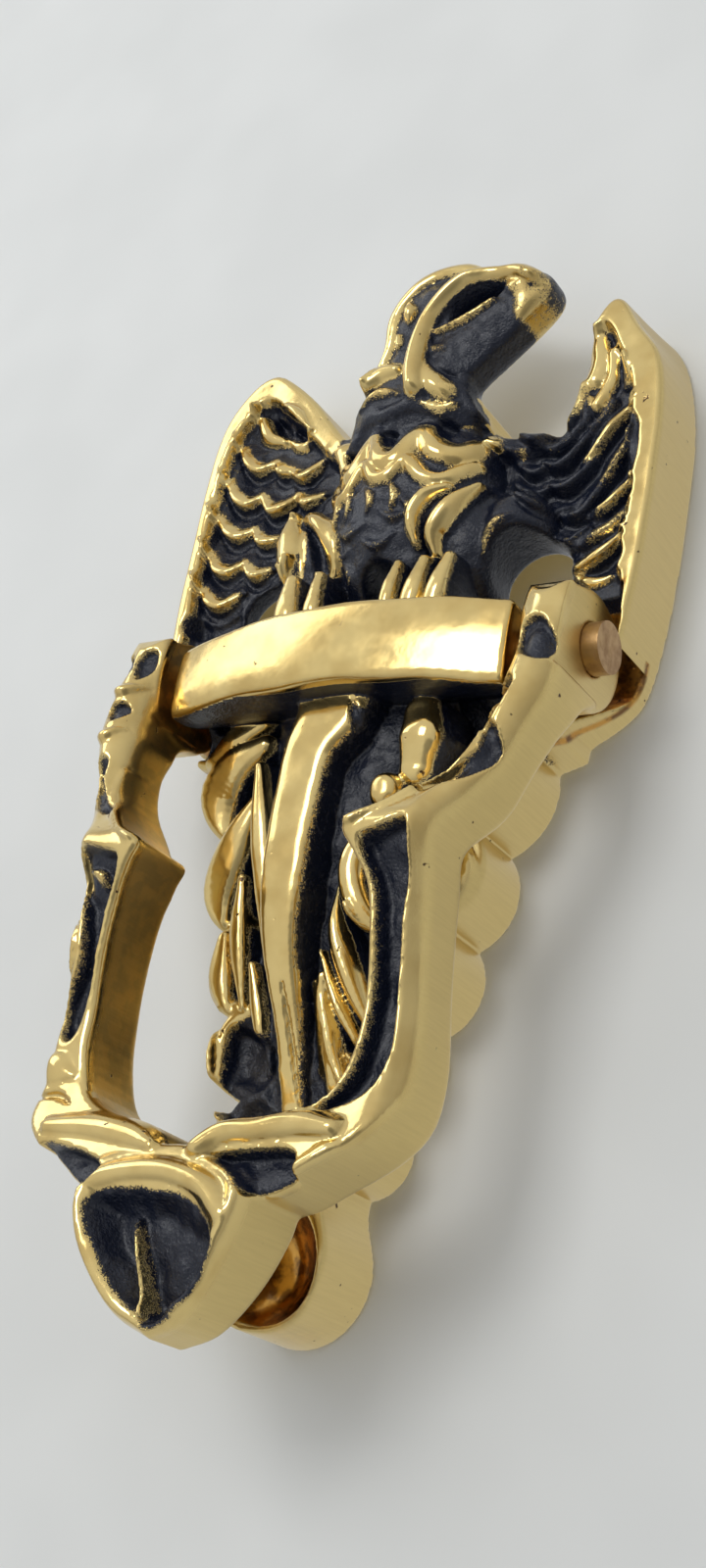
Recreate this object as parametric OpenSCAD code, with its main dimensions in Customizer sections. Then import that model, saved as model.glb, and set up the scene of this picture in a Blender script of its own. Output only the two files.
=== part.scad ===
// Cast brass eagle door knocker: a hollow-backed eagle plate, a swinging knocker on a hinge rod.
// X runs to the right seen from the front, Z is up, and the front faces -Y.
// The plate's back lies in the plane Y = 0, and the hinge axis is level with Z = 0.
// "depth" is the distance forward of the door, so a depth of d is at Y = -d.

/* [Eagle plate] */
// Half the width across the wings
wing_half_w = 50.5; // [50:0.1:52]
// Height of the polished rim round the wings
rim_depth = 15.5; // [15:0.1:16.5]
// Height of the feathered field inside the rim
field_depth = 12; // [11:0.1:13]
// Thickness of metal in front of the hollow back
skin = 4.5; // [4:0.1:5]
// Front of the head
head_front = 25; // [24:0.1:26]
// Back of the head, which stands clear of the door
head_back = 13; // [12:0.1:14]

/* [Hinge] */
// Radius of the hinge rod
rod_r = 4.5; // [4.2:0.05:4.6]
// Distance of the hinge axis from the door
axis_depth = 18; // [17.8:0.1:18.2]
// Overall length of the rod
rod_len = 97; // [96:0.5:98]
// Running clearance round the rod in the ears
rod_clear = 0.06; // [0.03:0.01:0.1]
// Length of the hinge band across the plate
band_len = 71; // [70:0.5:71]
// Height of the hinge band
band_h = 15; // [14:0.5:15.5]
// Front of the band at its middle
band_front = 32.8; // [32:0.1:33]

/* [Knocker] */
// Distance between the ears' inner faces
ear_gap = 75; // [74:0.5:75]
// Distance between the ears' outer faces
ear_span = 91; // [90:0.5:92]
// Radius of the ears behind the rod
ear_r = 10.5; // [9.5:0.1:10.5]
// Radius of the ground reliefs that clear the ears
relief_r = 14.6; // [14.4:0.1:14.8]
// Radius of the strike boss
boss_r = 3.6; // [3:0.1:4]
// Centre of the strike boss above the hinge
boss_z = -91.8; // [-92.3:0.1:-91.3]
// Gap between the boss and the plate at rest
strike_gap = 0.3; // [0.2:0.05:0.4]

/* [Fixing] */
// Radius of the tapped holes' walls, for M6
tap_r = 2.5; // [2.4:0.05:2.6]
// Depth of the tapped holes
tap_len = 12; // [10:0.5:12]
// Distance between the two tapped holes
tap_pitch = 90; // [88:1:92]
// Height of the upper hole
tap_top_z = 40; // [39:0.5:41]
// Radius of the bosses round the tapped holes
tap_boss_r = 6.5; // [6:0.1:7]
// Length of the bosses round the tapped holes
tap_boss_len = 20; // [16:1:20]

/* [Hidden] */
$fn = 64;
eps = 0.01;
brass = "goldenrod";
brass_dark = "darkgoldenrod";

// Side feather lobes below the wings: [x, z, radius], from the top down
lobes = [[20, -17, 13], [17.5, -36, 10.8], [14.5, -52, 9.8], [11, -67, 9], [8, -81, 8]];
// The round tip at the bottom: [x, z, radius]
tip = [0, -101.5, 12];
// Tail between its lobes, right half
tail_half = [[0, 0], [21, 0], [22, -17], [18, -36], [15, -52], [12, -67], [9, -81], [9.5, -97], [0, -100]];
// Root of the neck, which joins the head to the plate
neck_root = [[13, 50], [13, 57], [-13.5, 58], [-12, 50]];
// Arched openings beside the legs: centre from the middle, height of the arch's centre, radius
arch = [28.4, 19.8, 6.9];
// Arched opening between the legs: height of the arch's centre, radius
middle_arch = [19, 4];
// Height that the arches start from, behind the hinge band
arch_foot = 7.5;
// Hollows behind the tail feather and behind the breast, right halves, and their depths
hollow_feather = [[0, -16], [5, -16], [4, -50], [0, -50]];
hollow_feather_depth = 20;
hollow_breast = [[0, 27], [12, 27], [13, 44], [9, 52], [0, 52]];
hollow_breast_depth = 16;
// Dished hollow in the tip's front: radius of the ball, and its centre in front of the rim
dish_r = 11.5;
dish_forward = 9;
// Hollow behind the tip: wall round it, and depth
tip_wall = 5;
tip_hollow_depth = 6;
// Plan radius of the hinge band, and the depth of its back
bow_r = 117;
band_back = 7;
// Length of each ear relief, and its centre outside the band's end
relief_len = 12.4;
relief_out = 6.2;
// Length of the strike boss, and the facets of the band's bow
boss_len = 15;
bow_facets = 200;
// More than any front's depth
beyond = 50;

// Right wing with the U-shaped notch beside the head, from its lower corner anticlockwise
wing_right = [
    [0, -14], [34, -13], [38, -9], [42, -6.5], [46, -3], [48, 2], [49.3, 11], [50, 20],
    [wing_half_w, 32], [50.4, 46], [49.6, 56], [47.8, 64], [45.2, 70], [42, 74.6], [38.8, 76.8],
    [36, 75.6], [33.6, 70.5], [32.2, 64], [31.8, 57], [30.3, 52.2], [27, 49.4], [22.5, 49], [18, 50.3],
    [14.5, 53.5], [13, 58], [0, 60]
];
// Left wing, which is fuller beside the neck
wing_left = [
    [0, -14], [-34, -13], [-38, -9], [-42, -6.5], [-46, -3], [-48, 2], [-49.3, 11], [-50, 20],
    [-wing_half_w, 32], [-50.4, 46], [-50.2, 57], [-49, 65], [-46.4, 70.5], [-42.4, 75],
    [-38, 76.2], [-33, 73], [-27, 67.5], [-21.5, 61], [-17, 56.5], [-13.5, 58], [0, 60]
];
// Feathered field of the right wing, inside its rim
field_right = [
    [33, -6], [46.8, 3], [47, 15], [46.5, 24], [46.2, 34], [44.8, 45], [44, 54], [41.8, 61],
    [37.6, 70], [35, 70], [31, 66], [29, 56], [26, 47], [16, 46], [13.5, 24], [20, 2]
];
// Feathered field of the left wing, inside its rim
field_left = [
    [-33, -6], [-46, 8], [-47, 20], [-47.3, 34], [-46.5, 48], [-44.5, 58], [-41, 67],
    [-36.5, 71], [-27, 61], [-19, 52], [-15.5, 46], [-13.5, 24], [-20, 2]
];
// Hollow behind the right wing
hollow_right = [
    [14, 16], [44.5, 16.5], [46, 34], [45, 50], [42, 62], [37.5, 68], [37, 52], [31, 43.5], [14, 42]
];
// Hollow behind the left wing
hollow_left = [
    [-14, 16], [-44.5, 16.5], [-46, 34], [-45, 50], [-42, 62], [-36.5, 69], [-24, 55], [-14, 44]
];
// Hollow behind the tail, between the webs at the hinge and the tip
hollow_tail = [[0, -14], [24, -17], [20, -34], [13, -52], [7, -74], [0, -80]];
// Head and neck, turned to the right
head_outline = [
    [13, 52], [12.6, 57], [12.3, 61.2], [17.5, 66.3], [23.5, 72], [26.8, 76.2], [26.8, 79.6], [23.5, 82.2],
    [17.8, 82.8], [14.2, 84.8], [9.5, 87], [3, 87.6], [-2.5, 86], [-6, 82.2], [-8, 76.5], [-7.6, 70.5],
    [-8.8, 65.5], [-11, 60], [-13.5, 57], [-12, 50]
];
// Front of the neck, breast, legs and tail as seen from the side: [depth, z]
core_profile = [
    [4, 60], [16, 60], [20, 54], [23, 44], [24.5, 34], [23, 24], [22, 14], [24, 8], [24, -8],
    [26.5, -12], [26.5, -38], [24, -52], [18.5, -66], [14, -78], [4, -84]
];
// Breast, legs and tail feathers as seen from the front, right half
core_half = [
    [0, 60], [10, 58], [14, 50], [19, 40], [18, 28], [14, 18], [19, 8], [21, -8], [16, -22],
    [8, -40], [7, -60], [7, -84], [0, -84]
];
// Knocker as seen from the front, right half, from the inner top of the ear round
arm_outer = [
    [45.5, 8], [46.2, 0], [46.6, -8], [46, -14], [44, -20], [41, -28], [36.8, -36], [34.8, -42],
    [34.2, -50], [34.6, -62], [35.4, -74], [34.6, -83], [31, -89.5], [24, -94.5], [16, -98.5], [0, -99]
];
arm_inner = [
    [0, -93], [3, -92.5], [6.5, -88.5], [10, -87], [17, -85.8], [23, -82], [26, -75], [26.4, -66],
    [26, -57], [24.6, -49], [22.5, -45], [20.3, -40.5], [26, -37], [32.5, -29.5], [36, -21],
    [36.5, -15], [ear_gap / 2, -9], [ear_gap / 2, 8]
];
// Leaf-shaped finial as seen from the front, right half
finial_half = [
    [0, -93], [9, -93], [14.6, -95], [15.6, -100], [14, -106], [10.6, -112], [6, -117], [0, -119.5]
];
// Knocker as seen from the side: [depth, z], down the front and up the back
knocker_profile = [
    [16, 8], [30, 7], [31.2, 0], [33.5, -9], [35.5, -19], [36.5, -27], [39.5, -34], [44, -40.5],
    [43, -44], [40.5, -49], [39.2, -58], [37.5, -68], [37.5, -80], [40, -88], [44.5, -95],
    [46.5, -101.5], [45, -107], [41.5, -114], [38, -119.5],
    [28.5, -119.5], [28, -104], [26.5, -92], [23.5, -84], [23.5, -76], [25, -65], [26, -55], [27, -47],
    [29.5, -41], [26.5, -37.5], [23.5, -33], [23.8, -26], [22, -18], [18.5, -11], [14, -7]
];

// Turns a front view (x, z) into a solid between two depths
module forward(from, to) {
    translate([0, -from, 0]) rotate([90, 0, 0]) linear_extrude(to - from) children();
}

// Turns a side view (depth, z) into a solid from -half_w to half_w
module across(half_w) {
    translate([-half_w, 0, 0]) rotate([90, 0, 90]) linear_extrude(2 * half_w) mirror([1, 0]) children();
}

// Cylinder along X about the hinge axis
module about_hinge(r, length) {
    translate([-length / 2, -axis_depth, 0]) rotate([0, 90, 0]) cylinder(r = r, h = length);
}

// A right half outline and its mirror image
module both_halves(half) {
    polygon(half);
    mirror([1, 0]) polygon(half);
}

module tail_outline() {
    for (lobe = lobes) {
        for (side = [-1, 1]) translate([side * lobe[0], lobe[1]]) circle(r = lobe[2]);
    }
    translate([tip[0], tip[1]]) circle(r = tip[2]);
    both_halves(tail_half);
}

// Outer wall and feathered front
module plate_blank() {
    forward(0, rim_depth) difference() {
        union() {
            polygon(wing_right);
            polygon(wing_left);
            tail_outline();
        }
        polygon(field_right);
        polygon(field_left);
    }
    forward(0, field_depth) {
        intersection() {
            polygon(field_right);
            polygon(wing_right);
        }
        intersection() {
            polygon(field_left);
            polygon(wing_left);
        }
    }
    intersection() {
        forward(0, beyond) both_halves(core_half);
        across(beyond) polygon(core_profile);
    }
    forward(head_back, head_front) polygon(head_outline);
    forward(skin, head_back + eps) polygon(neck_root);
}

// An opening with a round top, from the arches' foot up
module arched(z, r) {
    translate([0, z]) circle(r = r);
    translate([-r, arch_foot]) square([2 * r, z - arch_foot]);
}

// Through-openings between the legs and beside them
module pierced_openings() {
    forward(-eps, beyond) {
        for (side = [-1, 1]) translate([side * arch[0], 0]) arched(arch[1], arch[2]);
        arched(middle_arch[0], middle_arch[1]);
    }
}

module hollow_back() {
    forward(-eps, field_depth - skin) {
        polygon(hollow_right);
        polygon(hollow_left);
    }
    forward(-eps, rim_depth - skin) both_halves(hollow_tail);
    forward(rim_depth - skin - 2 * eps, hollow_feather_depth) both_halves(hollow_feather);
    forward(-eps, hollow_breast_depth) both_halves(hollow_breast);
    forward(-eps, tip_hollow_depth) translate([tip[0], tip[1]]) circle(r = tip[2] - tip_wall);
}

// Polished band that carries the rod, bowed forward and rounded top and bottom
module hinge_band() {
    intersection() {
        translate([0, bow_r - band_front, -band_h / 2]) cylinder(r = bow_r, h = band_h, $fn = bow_facets);
        about_hinge(band_front - axis_depth, band_len);
        translate([-band_len / 2, -beyond, -band_h / 2]) cube([band_len, beyond, band_h]);
    }
    translate([-band_len / 2, -axis_depth, -band_h / 2]) cube([band_len, axis_depth - band_back, band_h]);
}

module backplate() color(brass) {
    difference() {
        union() {
            difference() {
                plate_blank();
                pierced_openings();
                hollow_back();
            }
            hinge_band();
            for (z = [tap_top_z, tap_top_z - tap_pitch]) {
                translate([0, 0, z]) rotate([90, 0, 0]) cylinder(r = tap_boss_r, h = tap_boss_len);
            }
        }
        about_hinge(rod_r, ear_gap);
        for (side = [-1, 1]) {
            translate([side * (band_len / 2 + relief_out), 0, 0]) about_hinge(relief_r, relief_len);
        }
        for (z = [tap_top_z, tap_top_z - tap_pitch]) {
            translate([0, eps, z]) rotate([90, 0, 0]) cylinder(r = tap_r, h = tap_len + eps);
        }
        // Dished hollow in the front of the tip
        translate([tip[0], -rim_depth - dish_forward, tip[1]]) sphere(r = dish_r);
    }
}

module knocker() color(brass) {
    difference() {
        union() {
            intersection() {
                forward(0, beyond) {
                    both_halves(concat(arm_outer, arm_inner));
                    both_halves(finial_half);
                }
                across(beyond) polygon(knocker_profile);
            }
            for (side = [-1, 1]) {
                translate([side * (ear_gap + ear_span) / 4, 0, 0])
                    about_hinge(ear_r, (ear_span - ear_gap) / 2);
            }
            translate([0, -rim_depth - strike_gap, boss_z])
                rotate([90, 0, 0]) cylinder(r = boss_r, h = boss_len);
        }
        about_hinge(rod_r + rod_clear, rod_len);
    }
}

module hinge_rod() color(brass_dark) about_hinge(rod_r, rod_len);

backplate();
knocker();
hinge_rod();
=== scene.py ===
"""Antique brass eagle door knocker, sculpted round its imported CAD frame.

Everything is in the row frame: X right, Z up, the front faces -Y and the back lies in Y = 0.
The sculpting works in millimetres, in front view (x, z), with "depth" the distance forward of the door.
"""

import math

import bpy
import numpy as np
import openvdb
from mathutils import Matrix, Vector


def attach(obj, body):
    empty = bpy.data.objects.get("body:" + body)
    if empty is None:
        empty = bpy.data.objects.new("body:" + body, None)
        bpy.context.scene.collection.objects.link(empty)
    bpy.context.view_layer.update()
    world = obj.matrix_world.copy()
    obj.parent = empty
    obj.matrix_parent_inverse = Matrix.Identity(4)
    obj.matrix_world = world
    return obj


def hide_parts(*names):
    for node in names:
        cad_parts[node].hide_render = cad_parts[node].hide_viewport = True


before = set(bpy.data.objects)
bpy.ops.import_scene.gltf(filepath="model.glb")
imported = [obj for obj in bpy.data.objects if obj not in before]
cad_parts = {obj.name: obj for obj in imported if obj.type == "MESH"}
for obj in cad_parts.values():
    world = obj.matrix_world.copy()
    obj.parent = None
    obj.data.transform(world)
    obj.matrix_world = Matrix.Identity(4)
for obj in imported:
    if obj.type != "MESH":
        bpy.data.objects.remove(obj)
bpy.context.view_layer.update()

MM = 0.001
PITCH = 0.42  # sculpting grid, mm
BAND = 3.0  # grid steps of distance kept on each side of a surface

# Hinge and fixing sizes, from the CAD design
AXIS_DEPTH = 18.0
ROD_R = 4.5
EAR_BORE_R = 4.56
BAND_HALF = 35.5
EAR_IN, EAR_OUT, EAR_R = 37.5, 45.5, 10.5
RELIEF_R, RELIEF_IN, RELIEF_OUT = 14.6, 35.5, 47.9
TAP_R, TAP_LEN, TAP_BOSS_R = 2.5, 12.0, 6.5
TAP_Z = (40.0, -50.0)
HEAD_BACK = 13.0
FIELD, RIM = 12.0, 15.5
SKIN = 4.2  # metal left over the hollows of the back
ARCH_X, ARCH_Z, ARCH_R = 28.4, 19.8, 7.1
SLOT_Z, SLOT_R = 19.0, 4.0
BOSS_Z, BOSS_R, BOSS_DEPTH = -91.8, 3.6, 15.8


# ---- small maths
def ease(v, lo, hi):
    """0 below lo, 1 above hi, smooth between."""
    t = np.clip((v - lo) / (hi - lo), 0, 1)
    return t * t * (3 - 2 * t)


def smax(a, b, k):
    """The larger of two fields, with the edge between them rounded over about k mm."""
    h = np.maximum(k - np.abs(a - b), 0) / k
    return np.maximum(a, b) + h * h * k * 0.25


def smin(a, b, k):
    return -smax(-a, -b, k)


def curve(points, steps=5, closed=False):
    """Rows of a smooth curve through the given rows (x, z, and any more columns)."""
    p = np.array(points, float)
    if closed:
        p = np.vstack([p[-1], p, p[0], p[1]])
    else:
        p = np.vstack([2 * p[0] - p[1], p, 2 * p[-1] - p[-2]])
    out = []
    for a, b, c, d in zip(p[:-3], p[1:-2], p[2:-1], p[3:]):
        for t in np.arange(steps) / steps:
            out.append(0.5 * (2 * b + (c - a) * t + (2 * a - 5 * b + 4 * c - d) * t * t
                              + (3 * b - a - 3 * c + d) * t ** 3))
    if not closed:
        out.append(p[-2])
    return np.array(out)


def blurred(grid, sigma_mm):
    """A grid smoothed over sigma_mm, by its Fourier transform."""
    kx = np.fft.fftfreq(grid.shape[0])[:, None]
    kz = np.fft.rfftfreq(grid.shape[1])[None, :]
    s = sigma_mm / PITCH
    gain = np.exp(-2 * (math.pi * s) ** 2 * (kx * kx + kz * kz))
    return np.fft.irfft2(np.fft.rfft2(grid) * gain, s=grid.shape)


def highest(grid, reach_mm):
    """Highest value within a short reach, taken along each axis in turn."""
    n = max(1, int(round(reach_mm / PITCH)))
    for axis in (0, 1):
        grid = np.max([np.roll(grid, k, axis) for k in range(-n, n + 1)], axis=0)
    return grid


# ---- the relief a front view is sculpted in
def from_segment(x, z, a, b):
    """How far along the segment a-b the nearest point lies, 0 to 1, and the way from there to x, z."""
    dx, dz = b[0] - a[0], b[1] - a[1]
    t = np.clip(((x - a[0]) * dx + (z - a[1]) * dz) / (dx * dx + dz * dz + 1e-9), 0, 1)
    return t, x - a[0] - t * dx, z - a[1] - t * dz


class Relief:
    """A front view: h is the depth of the metal's front, gold is 1 where polished and 0 where blackened."""

    def __init__(self, x_range, z_range, level):
        self.xs = np.arange(x_range[0], x_range[1], PITCH)
        self.zs = np.arange(z_range[0], z_range[1], PITCH)
        self.x, self.z = np.meshgrid(self.xs, self.zs, indexing="ij")
        self.h = np.full(self.x.shape, float(level))
        self.up = np.zeros(self.x.shape)
        self.down = np.zeros(self.x.shape)
        self.gold = np.zeros(self.x.shape)

    def at(self, grid, x, z):
        """Bilinear sample of one of this view's grids at points x, z."""
        u = np.clip((x - self.xs[0]) / PITCH, 0, len(self.xs) - 1.001)
        v = np.clip((z - self.zs[0]) / PITCH, 0, len(self.zs) - 1.001)
        i, k = u.astype(int), v.astype(int)
        u, v = u - i, v - k
        low = grid[i, k] * (1 - u) + grid[i + 1, k] * u
        high = grid[i, k + 1] * (1 - u) + grid[i + 1, k + 1] * u
        return low * (1 - v) + high * v

    def window(self, pts, reach):
        lo, hi = pts[:, :2].min(0) - reach, pts[:, :2].max(0) + reach
        i = np.searchsorted(self.xs, [lo[0], hi[0]])
        k = np.searchsorted(self.zs, [lo[1], hi[1]])
        return slice(i[0], i[1]), slice(k[0], k[1])

    def along(self, pts, reach):
        """Window, distance to a curve, side (+ on its left), and the other columns carried along it."""
        win = self.window(pts, reach)
        x, z = self.x[win], self.z[win]
        best = np.full(x.shape, 1e9)
        side = np.zeros(x.shape)
        cols = np.zeros(x.shape + (pts.shape[1] - 2,))
        for a, b in zip(pts[:-1], pts[1:]):
            t, ex, ez = from_segment(x, z, a, b)
            d = ex * ex + ez * ez
            near = d < best
            best[near] = d[near]
            side[near] = ((b[0] - a[0]) * ez - (b[1] - a[1]) * ex)[near]
            cols[near] = (a[2:] + t[..., None] * (b[2:] - a[2:]))[near]
        return win, np.sqrt(best), side, cols

    def region(self, pts, reach=4.0):
        """Window and signed distance to a closed outline, negative inside."""
        win = self.window(pts, reach)
        x, z = self.x[win], self.z[win]
        best = np.full(x.shape, 1e9)
        inside = np.zeros(x.shape, bool)
        for a, b in zip(pts, np.roll(pts, -1, axis=0)):
            _, ex, ez = from_segment(x, z, a, b)
            best = np.minimum(best, ex * ex + ez * ez)
            if a[1] != b[1]:
                crossing = a[0] + (z - a[1]) * (b[0] - a[0]) / (b[1] - a[1])
                inside ^= ((a[1] > z) != (b[1] > z)) & (x < crossing)
        return win, np.where(inside, -1, 1) * np.sqrt(best)

    def whole(self, pts):
        """Signed distance to a closed outline over the whole view."""
        out = np.full(self.x.shape, 1e3)
        win, d = self.region(pts, 400)
        out[win] = d
        return out

    # strokes: points are (x, z) or (x, z, scale of the width)
    def _stroke(self, points, width, taper):
        pts = np.array(points, float)
        if pts.shape[1] < 3:
            t = np.linspace(0, 1, len(pts))
            pts = np.column_stack([pts, taper + (1 - taper) * np.sqrt(4 * t * (1 - t))])
        pts = curve(pts)
        pts[:, 2] = np.maximum(pts[:, 2], 0.05)
        return self.along(pts, width * pts[:, 2].max() * 1.8 + 1)

    def ridge(self, points, width, rise, gold=1.0, taper=0.3):
        """Raises a rounded ridge along the points."""
        win, d, _, cols = self._stroke(points, width, taper)
        s = cols[..., 0]
        q = d / (width * s)
        self.up[win] = np.maximum(self.up[win], rise * np.sqrt(s) * np.clip(1 - q * q, 0, 1))
        self.gold[win] = np.maximum(self.gold[win], gold * (1 - ease(q, 0.6, 1.15)))

    def crest(self, points, above, below, rise, gold=1.0, taper=0.3):
        """A feather edge: rises gently on its left side and drops sharply on its right."""
        win, d, side, cols = self._stroke(points, max(above, below), taper)
        s = cols[..., 0]
        q = d / (np.where(side > 0, above, below) * (0.35 + 0.65 * s))
        lift = np.clip(1 - q, 0, 1)
        self.up[win] = np.maximum(self.up[win], rise * s * lift * lift * (3 - 2 * lift))
        g = d / (np.where(side > 0, above * 0.5, below * 0.75) * (0.35 + 0.65 * s))
        self.gold[win] = np.maximum(self.gold[win], gold * s ** 0.5 * (1 - ease(g, 0.5, 1.2)))

    def groove(self, points, width, depth, dark=1.0, taper=0.3):
        """Sinks a rounded channel along the points, and blackens it."""
        win, d, _, cols = self._stroke(points, width, taper)
        s = cols[..., 0]
        q = d / (width * s)
        self.down[win] = np.maximum(self.down[win], depth * np.sqrt(s) * np.clip(1 - q * q, 0, 1))
        self.gold[win] = np.minimum(self.gold[win], 1 - dark * (1 - ease(q, 0.7, 1.1)))

    def hump(self, points, width, top, gold=1.0, level=11.0, flat=2.0):
        """Raises the surface itself to top (one depth, or one for each point) along a broad stroke."""
        pts = np.array(points, float)
        tops = np.broadcast_to(np.array(top, float), len(pts))
        pts = curve(np.column_stack([pts, tops]))
        win, d, _, cols = self.along(pts, width * pts[:, 2].max() + 2)
        q = d / (width * np.maximum(cols[..., 0], 0.05))
        shape = np.clip(1 - q ** flat, 0, 1) ** (1 / flat)
        raised = smax(self.h[win], level + (cols[..., 1] - level) * shape, 0.8)
        self.h[win] = np.where(q < 1, raised, self.h[win])
        self.gold[win] = np.maximum(self.gold[win], gold * (1 - ease(q, 0.72, 1.02)))

    def dome(self, x, z, rx, rz, top):
        """Raises an oval swelling of the body."""
        q = ((self.x - x) / rx) ** 2 + ((self.z - z) / rz) ** 2
        shape = np.clip(1 - q, 0, 1) ** 0.6
        self.h = np.where(q < 1, smax(self.h, FIELD + (top - FIELD) * shape, 1.0), self.h)

    def pit(self, points, depth, soft=1.5):
        """Sinks a closed area by depth, with walls soft mm wide."""
        win, d = self.region(curve(points, closed=True))
        self.down[win] = np.maximum(self.down[win], depth * ease(-d, -0.2 * soft, 0.8 * soft))
        self.gold[win] = np.minimum(self.gold[win], 1 - ease(-d, -0.3, 0.5))

    def paint(self, points, gold):
        """Polishes (1) or blackens (0) a closed area with straight sides."""
        win, d = self.region(np.array(points, float))
        w = ease(-d, -0.8, 0.8)
        self.gold[win] = self.gold[win] * (1 - w) + gold * w

    def settle(self):
        """Takes the raised and sunk strokes into the surface, and wears the edges of the polish."""
        self.gold = blurred(self.gold, 0.6)
        self.h = self.h + self.up - self.down
        self.up[:] = 0
        self.down[:] = 0


GRAIN = 1.8  # size of the roughness left by the sand mould, mm


def waves(relief, seed, size_mm, amount):
    """Hand-finished or cast unevenness: smooth noise with waves about size_mm long."""
    rough = blurred(np.random.default_rng(seed).standard_normal(relief.x.shape), size_mm / 2)
    return rough / rough.std() * amount


def profile(rows, z):
    """A depth for each height z, through rows of (height, depth), with the corners between them rounded."""
    heights, depths = np.array(rows).T
    offsets = np.linspace(-1, 1, 9) * 2.25
    return sum(np.interp(z + o, heights, depths) for o in offsets) / len(offsets)


# ---- outlines of the plate, mm
def mirrored(points):
    return [(-p[0],) + tuple(p[1:]) for p in points]


LOBES = [(20, -17, 13), (17.5, -36, 10.8), (14.5, -52, 9.8), (11, -67, 9), (8, -81, 8)]
TIP = (0, -101.5, 12)
TAIL_HALF = [(0, 0), (21, 0), (22, -17), (18, -36), (15, -52), (12, -67), (9, -81), (9.5, -97), (0, -100)]
WING_RIGHT = [
    (0, -14), (34, -13), (38, -9), (42, -6.5), (46, -3), (48, 2), (49.3, 11), (50, 20), (50.4, 32),
    (50.4, 46), (49.6, 56), (47.8, 64), (45.2, 70), (42, 74.6), (38.8, 76.8), (36, 75.6), (33.6, 70.5),
    (32.2, 64), (31.8, 57), (30.3, 52.2), (27, 49.4), (22.5, 49), (18, 50.3), (14.5, 53.5), (13, 58),
    (0, 60),
]
WING_LEFT = mirrored(WING_RIGHT[:10]) + [
    (-50.2, 57), (-49, 65), (-46.4, 70.5), (-42.4, 75), (-38, 76.2), (-33, 73), (-27, 67.5), (-21.5, 61),
    (-17, 56.5), (-13.5, 58), (0, 60),
]
FIELD_RIGHT = [
    (33, -6), (46.8, 3), (47, 15), (45.9, 17.5), (46.6, 20.5), (45.9, 24), (46.4, 28), (46.6, 35),
    (45.2, 41), (44.6, 46), (44.4, 53), (43.2, 58.5), (40.6, 64.2), (37.9, 69.6), (35, 71), (30, 66),
    (29, 56), (26, 46), (20, 46), (14, 46), (13.5, 24), (20, 2),
]
FIELD_LEFT = [
    (-33, -6), (-46, 8), (-47, 20), (-47.5, 34), (-47.5, 48), (-46.5, 58), (-43.5, 66.5),
    (-39, 70.5), (-33, 66.5), (-27, 60), (-19, 52), (-15.5, 46), (-13.5, 24), (-20, 2),
]
HOLLOW_RIGHT = [(14, 16), (44.5, 16.5), (46, 34), (45, 50), (42, 62), (37.5, 68), (37, 52), (31, 43.5),
                (14, 42)]
HOLLOW_LEFT = mirrored(HOLLOW_RIGHT[:5]) + [(-36.5, 69), (-24, 55), (-14, 44)]
HOLLOW_TAIL = [(0, -14), (24, -17), (20, -34), (13, -52), (7, -74), (0, -80)]
HOLLOW_BREAST = [(-12, 27), (12, 27), (13, 44), (9, 52), (-9, 52), (-13, 44)]
# Each hollow of the back with the depth of its roof
HOLLOWS = [(HOLLOW_RIGHT, 7.5), (HOLLOW_LEFT, 7.5), (HOLLOW_TAIL, 11), (mirrored(HOLLOW_TAIL), 11),
           (HOLLOW_BREAST, 16)]
HEAD = [
    (13, 52), (12.6, 57), (12.3, 61.2), (17.5, 66.3), (23.5, 72), (26.8, 76.2), (26.8, 79.6), (23.5, 82.2),
    (17.8, 82.8), (14.2, 84.8), (9.5, 87), (3, 87.4), (-2.5, 85.6), (-6, 81.8), (-7.8, 76.5), (-7.4, 70.5),
    (-8.6, 65.5), (-11, 60), (-12.5, 55), (-12, 50),
]


def symmetric(relief, half):
    """Signed distance to an outline and its mirror image. half meets the middle once, often at its end."""
    half = np.array(half, float)
    other = half * (-1, 1)
    cut = len(half) if abs(half[-1][0]) < 0.01 else 1 + int(np.argmin(np.abs(half[:, 0])))
    return relief.whole(np.vstack([half[:cut], other[:cut][::-1], other[cut:][::-1], half[cut:]]))


def plate_outline(r):
    d = symmetric(r, TAIL_HALF)
    for wing in (WING_RIGHT, WING_LEFT):
        d = np.minimum(d, r.whole(curve(wing, 3, closed=True)))
    for x, z, radius in LOBES:
        d = np.minimum(d, np.hypot(np.abs(r.x) - x, r.z - z) - radius)
    return smin(d, np.hypot(r.x - TIP[0], r.z - TIP[1]) - TIP[2], 2.0)


def openings(r):
    """Signed distance to the pierced openings beside and between the legs."""
    across = np.abs(r.x) - ARCH_X
    side = np.hypot(across, r.z - ARCH_Z) - ARCH_R
    side = np.minimum(side, np.maximum(np.abs(across) - ARCH_R, np.abs(r.z - 13.5) - 6.3))
    centre = np.hypot(r.x, r.z - SLOT_Z) - SLOT_R
    centre = np.minimum(centre, np.maximum(np.abs(r.x) - SLOT_R, np.abs(r.z - 13) - 6))
    return np.minimum(side, centre)


def dish_radius(x, z):
    """Distance from the middle of the tip's slightly tall dish."""
    return np.hypot(x - 1.5, (z + 103) / 1.12)


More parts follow.
